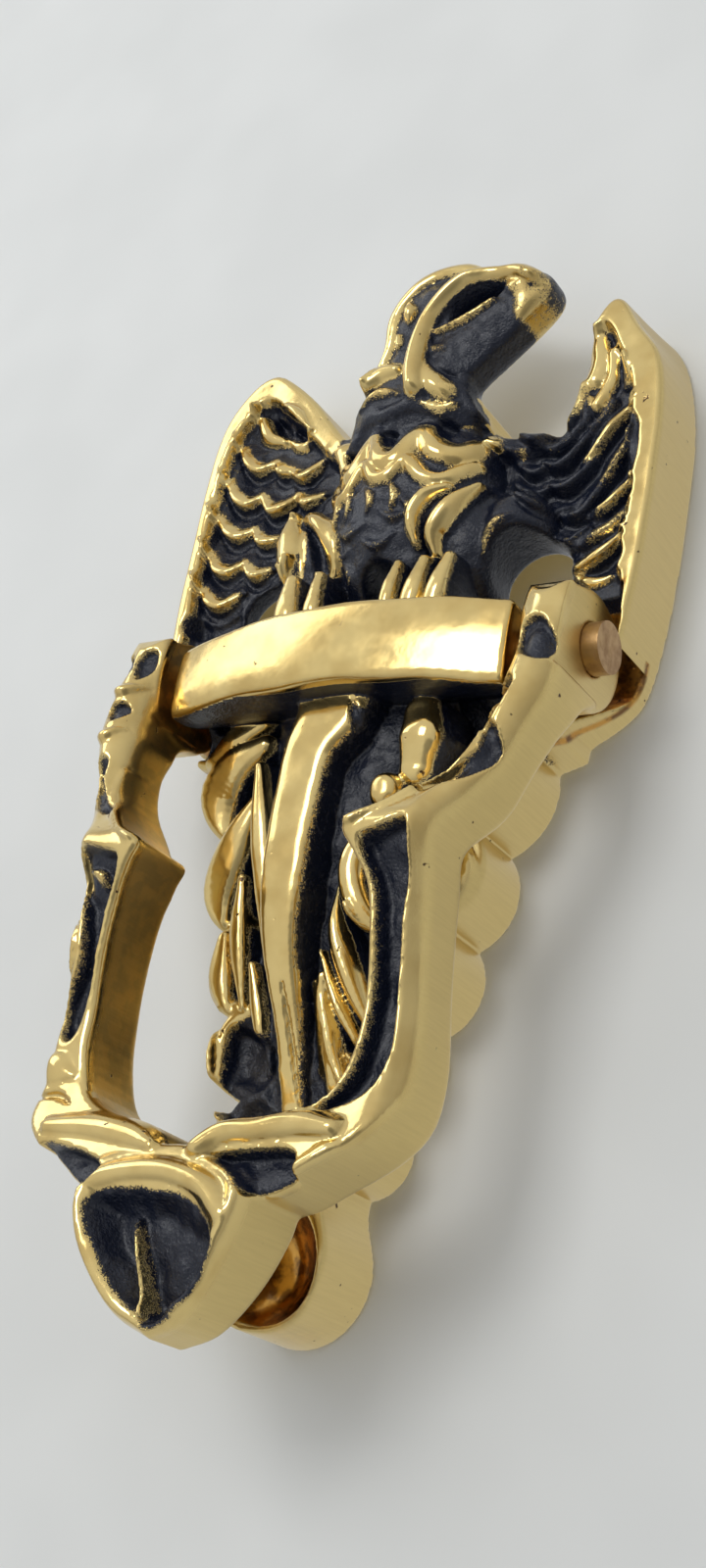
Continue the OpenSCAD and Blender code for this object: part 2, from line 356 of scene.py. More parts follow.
# ---- plate: wings
def sculpt_left_wing(r):
    # stippled strip inside the rim, and the scroll at the wing's top
    r.ridge([(-46.2, 42), (-46, 54), (-44, 63.5), (-40, 69)], 1.9, 1.1, gold=0.5, taper=0.5)
    r.ridge([(-42, 69), (-38.8, 63), (-34, 60.3)], 2.3, 2.4, taper=0.5)
    r.pit([(-39, 68), (-35.5, 66), (-33.5, 62.5), (-37, 63)], 2.4, 1.2)
    r.ridge([(-36, 68), (-31, 65), (-26.5, 60.5)], 1.8, 1.6)
    r.pit([(-33.5, 63.8), (-30, 63), (-26.5, 60), (-30, 60.4)], 2, 1)
    r.ridge([(-33.5, 61), (-29.5, 58.3), (-25.5, 60)], 1.5, 1.8)
    rows = [
        [(-45, 61), (-42.5, 56.5), (-39, 54), (-35.3, 55.2)],
        [(-35.3, 55), (-33.2, 52.6), (-30.2, 52.2)],
        [(-30.2, 52), (-27.2, 50.2), (-23.5, 53)],
        [(-46.5, 53), (-43.5, 48.2), (-40, 46), (-36.8, 47.4)],
        [(-36.8, 47.6), (-33.8, 43.6), (-30.5, 43.8), (-28, 46)],
        [(-28, 46.5), (-25.5, 43.8), (-22, 45)],
        [(-47, 44.5), (-43.5, 40.2), (-40.5, 38.6), (-37.2, 39.6)],
        [(-37.2, 40), (-34.3, 36.4), (-30.5, 36.8)],
        [(-47.2, 36.5), (-44.3, 31.8), (-41, 30.4), (-37.8, 32)],
        [(-37.6, 32.4), (-34.6, 28.8), (-31.2, 29.6)],
        [(-47.2, 28.5), (-44.3, 24.4), (-41, 22.8), (-37, 24.8)],
    ]
    for row in rows:
        r.crest(row, 5.2, 1.3, 2.7, taper=0.6)
        r.groove([(x + 0.2, z - 1.9) for x, z in row], 1.1, 0.7, dark=0.9, taper=0.5)
    r.pit([(-47, 21.5), (-42, 20.3), (-36.5, 22), (-37, 17.5), (-47, 17)], 1.4)
    for x, lean in ((-33, 2.4), (-27, 2.2), (-21.2, 1.4)):
        r.ridge([(x + lean, 26), (x, 21.5), (x - lean * 0.4, 16)], 1.9, 2.2, taper=0.6)


def sculpt_right_wing(r):
    # slot in the rim, and its facet
    r.pit([(44.6, 49.5), (46.4, 47), (46.9, 41), (46, 36), (45, 41)], 1, 0.8)
    # leaf streaks up the wing's tip
    streaks = [
        ([(34.4, 69), (35.4, 64), (34.9, 60)], 2.6, 0.85),
        ([(38, 65), (38.6, 60.5), (37.6, 57), (36.2, 54)], 1.9, 0.85),
        ([(32.6, 59), (32, 55.6), (31, 52.6)], 2.2, 0.62),
        ([(41.2, 62), (42, 57)], 1.3, 0.55),
        ([(39.4, 54), (38, 51), (36, 49.5)], 1.4, 0.4),
        ([(34.4, 55.5), (34, 51.5), (32.4, 48.6)], 1.4, 0.4),
    ]
    for points, width, gold in streaks:
        r.ridge([(x, z, 1) for x, z in points], width, 1.9, gold=gold, taper=0.7)
    # long scallops that sweep in from the rim; those nearest the body stay black
    scallops = [
        ([(36.4, 42.2), (38.4, 44.6), (40.6, 48.2), (43.6, 51.8)], 3.8, 2.8, 0.88),
        ([(39.8, 36.2), (41.6, 38.6), (42.8, 41.6), (44.2, 45)], 3.4, 2.6, 0.66),
        ([(38.4, 30.2), (41.4, 31.4), (43.6, 33.4), (45.6, 36.4)], 2.8, 2.6, 0.8),
        ([(36.6, 24.6), (40, 25.4), (43, 27), (45.6, 30)], 3.4, 2.4, 0.66),
        ([(37.4, 19.8), (40.8, 21.2), (43.4, 23.2), (45.4, 26)], 3.8, 2.4, 0.95),
        ([(21.4, 50), (25, 47), (29, 46), (32.4, 48.4)], 3, 2, 0.42),
        ([(27, 43.4), (30, 41.8), (32.8, 43.6), (35.4, 47.6)], 3, 2.4, 0.3),
        ([(21.5, 44.4), (24.6, 41.6), (28, 42.4)], 2.8, 2, 0.3),
        ([(28.6, 38), (32, 37), (35, 38.8), (37.8, 42.4)], 3, 2.4, 0.3),
        ([(22, 39.4), (25.6, 36.6), (29.4, 37.4)], 2.8, 2, 0.36),
        ([(32.8, 30.8), (36, 30.6), (38, 32.8), (40, 36.4)], 3, 2.4, 0.34),
        ([(26.4, 33.4), (29.4, 31.4), (33, 32.6)], 2.8, 2, 0.3),
        ([(32.6, 26.4), (35, 25.6), (38, 28)], 2.4, 1.8, 0.4),
    ]
    for points, above, rise, gold in scallops:
        r.crest(points, above, 1.3, rise, taper=0.7, gold=gold)
        r.groove([(x + 0.6, z - 1.7) for x, z in points], 1.1, 0.8, dark=0.8, taper=0.6)
    r.ridge([(36.8, 18.6), (40.6, 16.8), (44, 17.4)], 1.4, 1.2, taper=0.5, gold=0.9)
    r.groove([(34.5, 52.5), (30, 49.2), (24, 47.6), (18, 48.8)], 1.8, 0.6, taper=0.8)


# ---- plate: breast and legs
def sculpt_breast(r):
    r.dome(1, 37, 18.5, 23, 23.6)
    r.dome(-16.5, 28, 9, 13, 20)
    r.dome(15.5, 27, 9.5, 13, 21.5)
    r.dome(24.5, 28, 7.5, 9, 20.5)
    r.dome(0.5, 56, 15, 13, 22.5)
    # collar and the zigzag bands of breast feathers, polished on their high edges only
    r.ridge([(-14, 53.5, 0.7), (-9, 55, 1), (-3, 54, 1), (3, 55, 1), (9, 53.5, 1), (13, 51.5, 0.7)], 1.8,
            1.4, gold=0.85)
    upper = [(-16, 52), (-12.5, 45), (-8.5, 42.4), (-5.5, 49.6), (-2.2, 44), (1.8, 42.8), (5.5, 48.6),
             (9.5, 44.4), (13.5, 43.6), (17, 47)]
    lower = [(-16, 44.5), (-13.5, 39), (-9, 37.6), (-5.5, 43), (-2, 39.2), (1.2, 38.8), (4.2, 42),
             (8, 38.2), (12, 37.6), (16.5, 41.4)]
    r.ridge([(x, z, 1) for x, z in upper], 3, 2, gold=0.84)
    r.ridge([(x, z, 1) for x, z in lower], 1.9, 1.6, gold=0.84)
    for x, z in ((-12.5, 48.6), (-1.8, 48.6), (9.2, 49.6), (15, 50)):
        r.pit([(x - 2, z + 2), (x + 1.8, z + 1.4), (x + 0.4, z - 2.8)], 1.6, 0.9)
    for points in ([(-13, 38), (-11.4, 35), (-12.8, 32)], [(-8.6, 38), (-7.4, 35), (-8.4, 31.5)],
                   [(-3.5, 37), (-1.8, 34.5), (-2.5, 31.5)], [(2, 37), (3.4, 34.5), (2.6, 31)]):
        r.ridge(points, 1.2, 1.1, gold=0.72)
    for points in ([(-10, 30.5), (-6.5, 28), (-2.5, 29.6)], [(-3, 26.5), (0.5, 24.6), (4, 27)],
                   [(-12.5, 27), (-10.5, 24.5), (-7, 25.6)], [(0.5, 31.5), (3.5, 29.6), (6, 31)],
                   [(-8.5, 24), (-6.8, 21), (-7.8, 17.5)], [(4.5, 34), (6.5, 31), (6, 27)]):
        r.crest(points, 2.4, 0.9, 1.3, gold=0.55)


def sculpt_legs(r):
    # left leg: a fat teardrop and the crescent that hooks round it
    r.hump([(-23, 36.6, 0.5), (-22.2, 31.5, 1.1), (-20.6, 26, 1.05), (-19, 21.5, 0.6)], 4.3,
           [19.5, 21.2, 21.6, 20])
    r.ridge([(-22.4, 38.4, 0.8), (-17, 35.4, 1.1), (-12, 29.6, 1.1), (-10.4, 23.6, 0.8), (-12, 19.6, 0.5)],
            2.1, 2.4, gold=0.85)
    r.groove([(-19.4, 34.6), (-16, 30.6), (-14, 25), (-14.4, 20)], 1.3, 2.2)
    r.ridge([(-27.5, 33, 0.7), (-27, 26, 1), (-24.5, 20, 0.8)], 1.4, 1.6, gold=0.7)
    # right leg: crescent, then the main leaf against the dark thigh
    r.ridge([(8.4, 25, 0.7), (7.4, 29.6, 1), (9.4, 33.8, 1), (13, 35.8, 0.7)], 1.8, 2.2, gold=0.9)
    r.hump([(13.4, 21.5, 0.5), (13, 25.5, 1), (15.8, 30.4, 1), (19.4, 35, 0.4)], 4,
           [22.5, 25, 25.2, 22])
    r.groove([(10, 22.5), (9.8, 28), (12.6, 32.6)], 0.9, 1.6)
    # worn lip of the opening beside the right leg
    r.ridge([(21, 21.5), (22.6, 26), (27, 28.6)], 1.4, 0.8, gold=0.62)
    # toes that come down on the band
    for x, w in ((-15.5, 2.3), (-9.5, 1.8), (6.5, 1.6), (11.5, 2.0), (16.5, 2.0)):
        toe = [(x * 1.05, 19.5, 0.6), (x, 13, 1), (x * 0.96, 8, 1)]
        r.hump(toe, w * 1.25, [24, 25.5, 25], level=19, flat=3, gold=0.88)


# ---- plate: tail
def sculpt_tail(r):
    r.hump([(0, -2, 1.15), (0, -16, 1), (0, -36, 0.72), (0, -56, 0.58), (0, -80, 0.5)], 17,
           [20.5, 20.5, 19, 15.8, 12.4], gold=0, flat=2.6)
    left = [
        ([(-21, -5, 0.8), (-27, -8.5, 1), (-32.5, -13.5, 0.8)], 3.4, [17.5, 17.5, 15.8]),
        ([(-18.5, -11.5, 0.6), (-25, -14.5, 1), (-29, -20, 1.15), (-28, -28.5, 0.7)], 4.4,
         [19.5, 19, 17, 15.3]),
        ([(-17.5, -22.5, 0.5), (-21.5, -30, 1), (-24.5, -38, 1), (-23.5, -46, 0.5)], 3.9,
         [19, 18.5, 16.5, 14.5]),
        ([(-17.8, -37, 0.5), (-17, -48, 1), (-14.4, -60, 0.3)], 2.2, [18, 17, 14.5]),
        ([(-21.2, -47, 0.6), (-20.6, -54, 1), (-18.2, -60.5, 0.5)], 2.6, [15.5, 15.5, 14.3]),
        ([(-16.5, -17, 0.5), (-13.8, -29, 1), (-11, -40, 0.9), (-8.4, -54, 0.35)], 2.9,
         [21.5, 21.5, 20.5, 17.5]),
        ([(-12.4, -53, 0.6), (-10, -61, 1), (-7.6, -70, 0.3)], 1.7, [17, 16.3, 14.5]),
    ]
    for points, width, top in left:
        r.hump(points, width * 1.08, top, flat=3)
    r.hump(mirrored(left[4][0]), 2.6, 15.5)
    r.hump([(25.5, -13, 0.6), (29.4, -20, 1.1), (28, -28.5, 0.7)], 3.8, [16.5, 17, 15.3])
    r.hump([(22, -30, 0.6), (24.8, -38, 1), (23.5, -46, 0.5)], 3.6, [17.5, 16.5, 14.5])
    # leaves seen past the knocker's right arm
    r.hump([(13.5, -27, 0.5), (17, -35, 1), (16.4, -44, 0.5)], 3, [20.5, 21.5, 19])
    r.hump([(5.4, -41, 0.4), (6.4, -49, 1), (9.8, -57, 1), (14, -64.5, 0.5)], 3.2, [20.5, 21.5, 20, 17])
    r.ridge([(9.6, -46, 0.6), (13, -53, 1), (15.4, -60, 0.7)], 1.8, 1.6, gold=0.8)
    r.hump([(3.4, -52, 0.5), (7.2, -60, 1), (11.4, -66.5, 0.7)], 1.9, [19.8, 18.8, 16.8], gold=0.8)
    r.hump([(2.6, -57, 0.7), (5.4, -65, 1.1), (7.6, -73.5, 0.8)], 3, [18.5, 17.3, 15.2], gold=0.7)
    r.hump([(4.6, -60, 0.6), (6.4, -67, 1), (9.8, -74, 0.7)], 1.9, [18, 17, 15.5], gold=0.75)
    r.hump([(9.4, -68.5, 0.6), (12.4, -71.5, 1), (14, -75, 0.6)], 1.6, [15.5, 15.5, 15], gold=0.7)
    for side in (1, -1):
        r.ridge([(side * 19.6, -60), (side * 19, -69), (side * 15.8, -78), (side * 9, -81.5)], 1, 1.8,
                gold=0.8)
    r.pit([(-17, -63.5), (-10.5, -64.5), (-5.6, -68), (-4, -78), (-10, -80.5), (-15.5, -77.5)], 2.4)
    # the knob and ball on the right
    r.hump([(17.4, -11.2, 0.85), (18.4, -16, 1), (17.8, -21, 0.8)], 5, [24.8, 25.8, 24], level=17, flat=3)
    r.hump([(13.2, -25, 1), (13.4, -26, 1)], 3.5, 25.4, level=17, flat=3)
    r.hump([(12.6, -31, 0.6), (9.4, -35.5, 1), (9, -40.5, 1), (11.4, -45.8, 0.9), (15.5, -49.6, 0.5)],
           2.9, [23, 24.5, 24.5, 23.5, 21], level=15, flat=3)
    # long polished centre feather with a flat face
    r.hump([(0.4, -6, 1.75), (-0.4, -10.5, 1.6), (-2.4, -15.5, 1.25), (-3.2, -20, 1.1), (-3.3, -30, 1.05),
            (-3, -41, 0.98), (-2.6, -52, 0.76), (-1, -65, 0.56), (0, -77, 0.5)], 4.9,
           [26, 26.3, 26.5, 26.5, 26.5, 26.3, 24, 18.7, 14.2], flat=6, level=14)
    r.groove([(4.6, -8.5), (5.8, -12), (6.4, -15)], 1, 1)
    r.hump([(3.8, -56, 0.6), (4.6, -64, 1), (5.2, -71, 0.8)], 1.9, [19, 17, 14.8], flat=3)
    r.groove([(-1.6, -58), (0, -68), (1.6, -78)], 0.6, 0.9, dark=0.6)


def sculpt_tip(r):
    d = dish_radius(r.x, r.z) / 9.6
    r.down = np.maximum(r.down, 7.0 * np.clip(1 - d ** 2.4, 0, 1))


def sculpt_plate():
    r = Relief((-54, 54), (-117, 90), FIELD)
    outline = plate_outline(r)
    right_field, left_field = (r.whole(curve(pts, 3, closed=True)) for pts in (FIELD_RIGHT, FIELD_LEFT))
    field = np.minimum(right_field, left_field)
    rim = ease(field, -1.6, 0.5)
    upper = ease(r.z, -9, -3)
    r.h = FIELD + (RIM - FIELD) * rim * upper
    r.gold = rim * upper
    # the tail's edge stands up as a scalloped rim
    edge = ease(outline, -4.0, -1.8) * (1 - upper)
    r.h += 1.8 * (1 - upper) * ease(outline, -5, -1.5)
    r.gold = np.maximum(r.gold, edge)
    low_tip = ease(-r.z, 86, 91)
    r.h = np.where(low_tip > 0, r.h * (1 - low_tip) + RIM * low_tip, r.h)
    r.gold = np.maximum(r.gold, low_tip)
    # blackened ground of the body between the wings, the hinge web and the top of the tail
    r.paint([(-17, 57.5), (-22, 48), (-22, 10), (-36, 8), (-39, -6), (-33, -13.5), (0, -20), (33, -13.5),
             (39, -6), (36, 8), (22, 10), (22, 47), (18, 52), (13, 60), (-13, 60)], 0)
    sculpt_tip(r)
    sculpt_left_wing(r)
    sculpt_right_wing(r)
    sculpt_breast(r)
    sculpt_legs(r)
    sculpt_tail(r)
    r.settle()
    cavity = blurred(r.h, 1.3) - r.h
    r.gold *= 1 - ease(cavity, 0.35, 1.2) * ease(-field - 40 * (1 - upper), 0.5, 2.5)
    r.h += waves(r, 3, 5.0, 0.06)
    # blackened ground is left rough as cast
    r.h += waves(r, 17, GRAIN, 0.16) * (1 - r.gold) * ease(-outline, 0.5, 2)
    return r, outline


# ---- plate: head
def sculpt_head():
    r = Relief((-54, 54), (-117, 90), 20.8)
    outline = r.whole(curve(HEAD, 3, closed=True)) - 0.2
    r.h += 2.2 * ease(-outline, 0, 6)
    r.h -= 2.5 * ease(-r.z, -58, -50)
    # rim round the crown
    r.ridge([(-9.5, 62, 0.6), (-6.6, 69.5, 0.9), (-6.2, 77, 1), (-3.4, 82, 1), (2, 85.3, 1), (8.5, 85.2, 1),
             (13, 83, 0.7)], 2.2, 1.8)
    # brow ridge that turns into the beak
    r.ridge([(3.4, 57.5, 1.2), (2.6, 62, 1.25), (2.6, 68, 1.1), (4, 73.6, 1), (8, 78.8, 1), (13.8, 81.4, 1),
             (20.4, 81, 1.05), (24.6, 78.6, 1)], 2.3, 3.4)
    # the worn tip of the beak, and the thin edge of the gape below the pit
    r.ridge([(21.6, 79, 1), (23.6, 76, 1), (22.8, 72.4, 0.7)], 3.6, 1.2, gold=0.72)
    r.paint([(22, 81.5), (26, 80), (27.6, 77.6), (26.2, 75), (22.6, 73), (21, 77)], 0.66)
    r.ridge([(5.4, 70.2, 0.8), (9, 71, 1), (13, 72.4, 1), (17.2, 74.8, 0.8)], 0.9, 1.5, gold=0.85)
    r.ridge([(4.6, 66.6, 1), (8, 66.4, 0.6)], 1.3, 0.6, gold=0.62)
    r.pit([(7.6, 72.2), (7.9, 75), (11.2, 77.9), (15, 79), (18.2, 78.7), (17.8, 76.6), (14, 74.2),
           (10.4, 72.4)], 4.4, 1.5)
    # eyes
    r.ridge([(-2, 78.8), (-1.4, 76.4), (-1.2, 74)], 1.8, 1.9)
    r.ridge([(-3.4, 71.4), (-2.8, 69.2)], 1.2, 1.5, taper=0.9)
    # jaw, cheek bump and neck tufts
    r.ridge([(3, 63.6, 0.8), (4.8, 60, 1.15), (9.2, 57, 0.8)], 2.9, 1.7, gold=0.8)
    r.groove([(5.2, 63.4), (7.6, 61.2), (10.4, 60.6)], 0.8, 1)
    r.hump([(-8.4, 61.5, 0.7), (-5.4, 63.6, 1), (-2.2, 63.4, 0.7)], 2.8, 24.4, level=19)
    r.ridge([(-10.4, 56.8), (-5, 58.8), (0, 57.4)], 1.3, 1.3, gold=0.75)
    r.ridge([(4, 55.4), (8, 53.6), (12, 54.6)], 1.3, 1.3, gold=0.8)
    r.settle()
    r.h += waves(r, 5, 5.0, 0.05)
    r.h += waves(r, 19, GRAIN, 0.14) * (1 - r.gold)
    return r, outline


# ---- from fields to meshes
def space(r, lowest, uppermost):
    """Depths from lowest to uppermost, and x, depth and z shaped to fill a grid of all three."""
    depths = np.arange(lowest, uppermost + PITCH, PITCH)
    return depths, r.xs[:, None, None], depths[None, :, None], r.zs[None, None, :]


def front_field(r, depths):
    """Distance, near the surface, to the metal's front; negative in the metal."""
    gx, gz = np.gradient(r.h, PITCH)
    slope = 1 / np.sqrt(1 + np.minimum(gx * gx + gz * gz, 6))
    return (depths[None, :, None] - r.h[:, None, :]) * slope[:, None, :]


def mesh_of(name, field, r, depths, *rules):
    """A piece whose surface is where field is zero. Each rule(x, depth, z) fills its own attribute."""
    grid = openvdb.FloatGrid()
    grid.copyFromArray(np.clip(field / PITCH, -BAND, BAND).astype(np.float32))
    points, _, quads = grid.convertToPolygons(isovalue=0.0, adaptivity=0.0)
    mm = points * PITCH + np.array([r.xs[0], depths[0], r.zs[0]])
    corners = np.column_stack([mm[:, 0], -mm[:, 1], mm[:, 2]]) * MM
    # depth runs against Y, so the mirrored faces are turned round
    a, b, c = (corners[quads[:, i]] for i in (0, 1, 2))
    volume = np.einsum("ij,ij->i", a, np.cross(b, c)).sum()
    if volume < 0:
        quads = quads[:, ::-1]
    mesh = bpy.data.meshes.new(name)
    mesh.vertices.add(len(corners))
    mesh.vertices.foreach_set("co", corners.ravel().astype(np.float32))
    mesh.loops.add(quads.size)
    mesh.loops.foreach_set("vertex_index", quads.ravel().astype(np.int32))
    mesh.polygons.add(len(quads))
    mesh.polygons.foreach_set("loop_start", np.arange(0, quads.size, 4, dtype=np.int32))
    mesh.polygons.foreach_set("use_smooth", np.ones(len(quads), bool))
    mesh.update(calc_edges=True)
    for rule in rules:
        layer = mesh.attributes.new(rule.__name__, "FLOAT", "POINT")
        layer.data.foreach_set("value", rule(mm[:, 0], mm[:, 1], mm[:, 2]).astype(np.float32))
    obj = bpy.data.objects.new(name, mesh)
    bpy.context.scene.collection.objects.link(obj)
    return obj


def band_field(x, d, z):
    """The polished hinge band: bowed in plan, nearly flat from top to bottom, uneven as cast."""
    u = x / BAND_HALF
    front = 32.5 - np.where(u < 0, 5.6, 3.4) * u * u - 0.012 * (z + 0.5) ** 2
    top = 7.7 - 2.4 * u * u + 0.12 * np.sin(x / 2.9)
    bottom = -7.7 - 0.6 * u * u - 1.7 * ease(x, 4, 36) + 0.2 * np.sin(x / 3.3 + 1)
    section = smax(smax(d - front, z - top, 1.0), bottom - z, 1.6)
    # below its face the band falls back to the web
    section = smax(section, (18 - d) * 0.5 + (-z - 6.5), 2.0)
    return smax(smax(section, np.abs(x) - BAND_HALF + 0.1, 0.9), 7 - d, 0.5)


def build_plate():
    r, outline = sculpt_plate()
    head, head_outline = sculpt_head()
    depths, x, d, z = space(r, -1.5, 34.5)
    holes = openings(r)

    # the right wing's top outer corner is ground away towards the front
    ground = np.exp(-((r.x - 45.5) ** 2 + (r.z - 71.5) ** 2) / 55)[:, None, :]
    wall = outline[:, None, :] + ground * (3.4 * d / RIM - 0.6)
    body = smax(wall, front_field(r, depths), 1.6)
    body = smax(body, -holes[:, None, :], 1.4)
    ceiling = blurred(r.h, 1.5) - SKIN
    for pts, roof in HOLLOWS:
        hollow = r.whole(np.array(pts, float)) + 0.5
        top = np.minimum(ceiling, roof)[:, None, :]
        body = smax(body, -smax(hollow[:, None, :], d - top, 2.5), 0.8)
    body = np.maximum(body, -d)
    raised = smax(head_outline[:, None, :], front_field(head, depths), 1.8)
    raised = smax(raised, HEAD_BACK - d, 3.0)
    body = smin(body, raised, 1.2)
    body = smin(body, band_field(x, d, z), 0.5)
    for tap_z in TAP_Z:
        radial = np.hypot(x, z - tap_z)
        body = np.minimum(body, np.maximum(radial - TAP_BOSS_R, np.maximum(-d, d - 14)))
        body = np.maximum(body, -np.maximum(radial - TAP_R, d - TAP_LEN))
    hinge = np.hypot(d - AXIS_DEPTH, z)
    body = np.maximum(body, -(hinge - ROD_R))
    beside_ear = np.maximum(RELIEF_IN - np.abs(x), np.abs(x) - RELIEF_OUT)
    sweep = np.where(z > 0, RELIEF_R, RELIEF_R - 3.0 * ease(-z, 1, 8))
    body = np.maximum(body, -np.maximum(hinge - sweep, beside_ear))

    crests = highest(blurred(r.h, 0.4), 1.3)
    head_crests = highest(blurred(head.h, 0.4), 1.2)

    def on_head(px, pd, pz):
        return (r.at(head_outline, px, pz) < 0.3) & (pd > HEAD_BACK - 0.5)

    def patina_and_shade(px, pd, pz):
        gold = r.at(r.gold, px, pz)
        front = r.at(r.h, px, pz)
        deep = np.where(pz < -9, 11.8, 16.4)
        near = np.maximum(ease(pd - front, -3.6, -1.6), ease(pd - deep, 0, 1))
        inside = ease(-r.at(outline, px, pz), 0.0, 0.8)
        hole = ease(-r.at(holes, px, pz), -1.5, -0.3)
        # only the high points are polished: the sides of every stroke keep their patina
        fallen = ease(r.at(crests, px, pz) - pd, 1.6, 3.2)
        fallen = fallen * ease(-r.at(outline, px, pz), 2.6, 4.0) * (pz > -90)
        gold = gold * (1 - fallen)
        dark = (1 - gold) * near * inside
        head_fallen = ease(r.at(head_crests, px, pz) - pd, 1.3, 2.8)
        head_fallen = head_fallen * ease(-r.at(head_outline, px, pz), 1.6, 3.0)
        head_dark = 1 - r.at(head.gold, px, pz) * (1 - head_fallen)
        head_dark = head_dark * ease(pd, HEAD_BACK + 0.3, HEAD_BACK + 1.8)
        dark = np.where(on_head(px, pd, pz), head_dark, dark)
        band_depth = band_field(px, pd, pz)
        on_band = band_depth < 0.4
        falls = band_field(px, pd, pz - 0.4) - band_depth > 0.34
        dark = np.where(on_band, 0, dark)
        in_hole = hole * ease(pd, 0.5, 2) * (pd < front - 0.5)
        # painted shade under and behind the band: every unpolished surface there is dark at any depth, over
        # its patina
        under = (np.abs(px) < BAND_HALF + 1) & (np.abs(pz) < 14) & ~on_band & (pd > 4) & (pd < 24)
        dark = np.maximum(dark, in_hole * ~on_band)
        dark = np.where(under, np.maximum(dark, 1 - gold), dark)
        # painted shade: the band's downward faces at the back are painted nearly black
        return np.where(on_band & falls & (pd < 29.5), 0.85, dark)

    def satin(px, pd, pz):
        front = r.at(r.h, px, pz)
        wall_part = ease(r.at(outline, px, pz), -1.6, -0.4)
        low = ease(front - pd, 1.0, 3.0)
        return np.where(on_head(px, pd, pz), ease(20 - pd, 0, 4), np.maximum(wall_part, low))

    def brown_and_shade(px, pd, pz):
        """Brown lacquer in the tip's dish, and brown painted shade on the ground reliefs beside the ears."""
        dish = 1 - ease(dish_radius(px, pz), 7.5, 9.5)
        around = np.abs(np.hypot(pd - AXIS_DEPTH, pz) - RELIEF_R)
        beside_ear = (np.abs(px) > RELIEF_IN - 0.5) & (np.abs(px) < RELIEF_OUT + 0.6)
        # the dish keeps its brown lacquer; the relief pockets beside the ears get brown painted shade
        return np.maximum(dish * ease(pd, 2, 5) * (pz < -90), (1 - ease(around, 0.3, 1.0)) * beside_ear)

    return mesh_of("eagle_plate", body, r, depths, patina_and_shade, satin, brown_and_shade)


# ---- knocker
ARM_OUTER = [
    (45.5, 8), (46.2, 0), (46.5, -8), (46, -14), (44, -20), (41, -28), (37, -36), (34.8, -42),
    (34.2, -50), (34.6, -62), (35.4, -74), (34.6, -83), (31, -89.5), (24, -94.5), (16, -98.5), (0, -99),
]
ARM_INNER = [
    (0, -93.3), (2.6, -92.8), (4, -90), (6.5, -88.2), (10, -87), (17, -85.6), (23, -82), (26, -75),
    (26.4, -66), (26, -57), (24.6, -49), (22.5, -45), (20.3, -40.5), (26, -37), (32.5, -29.5), (35.8, -21),
    (36.3, -15), (37.5, -9), (37.5, 8),
]
FINIAL_HALF = [(0, -91), (9, -91.5), (14.6, -95), (15.6, -100), (14, -106), (10.6, -112), (6, -117),
               (0, -119.5)]
FRONT_PROFILE = [
    (-119.5, 39), (-114, 41.3), (-107, 43.2), (-101.5, 43.6), (-95, 42.4), (-88, 40), (-80, 37.5),
    (-68, 37.5), (-58, 39.2), (-49, 40.5), (-44, 43), (-40.5, 44), (-34, 39.5), (-27, 36.5), (-19, 35.5),
    (-9, 33.5), (0, 31.2), (7, 30.2), (9, 29),
]
BACK_PROFILE = [
    (-120, 28.5), (-104, 28), (-92, 26.5), (-84, 23.5), (-76, 23.5), (-65, 25), (-55, 26), (-47, 27),
    (-41, 29.5), (-37.5, 26.5), (-33, 23.5), (-26, 23.8), (-18, 22), (-11, 18.5), (-7, 12), (9, 7),
]


def sculpt_right_arm(r):
    # two dark spots on the ear and shoulder, then a slit and a bright ridge down to the cusp
    r.pit([(38.8, -1.2), (42.3, 0), (45, -3.6), (45.2, -7.8), (43, -9), (40, -6.8)], 2, 1)
    r.pit([(36.9, -13.6), (39.5, -11.8), (41.2, -13.6), (40.2, -17.6), (38.4, -20), (37, -17)], 2, 1)
    r.groove([(38.9, -22.5, 0.9), (38.9, -26, 1.1), (36, -30, 1), (31.2, -33.4, 0.6)], 1.7, 2.6)
    r.ridge([(36.4, -22, 0.5), (34.2, -28, 1), (28.4, -34.8, 1), (21.8, -40, 0.9)], 1.7, 1.4)
    # channel of the lower arm, curving in along the bar
    r.pit([(23.6, -43.4), (27, -41.6), (31.6, -40.2), (32.2, -46), (31.8, -56), (32.2, -68), (32.4, -76),
           (30.2, -81.6), (24.5, -84.9), (15, -86.6), (20.5, -84.4), (25, -80.6), (27.2, -75), (27.7, -66),
           (27.2, -57), (26.2, -50)], 3.6, 1.6)
    # bar leaf and the dark triangle below it
    r.ridge([(4.6, -91.4, 0.8), (8.5, -88.6, 1), (14, -88.2, 0.9), (20, -87, 1), (27, -87.8, 0.7)], 2.9,
            2.4)
    r.pit([(6.8, -93), (13, -91.8), (21.5, -91.6), (22.4, -96.6), (19.6, -100.2), (15.4, -98.6),
           (11.4, -95.6)], 3.4, 1.5)
    r.ridge([(24, -95.4, 0.9), (27.6, -92, 1)], 2.6, 0.8)


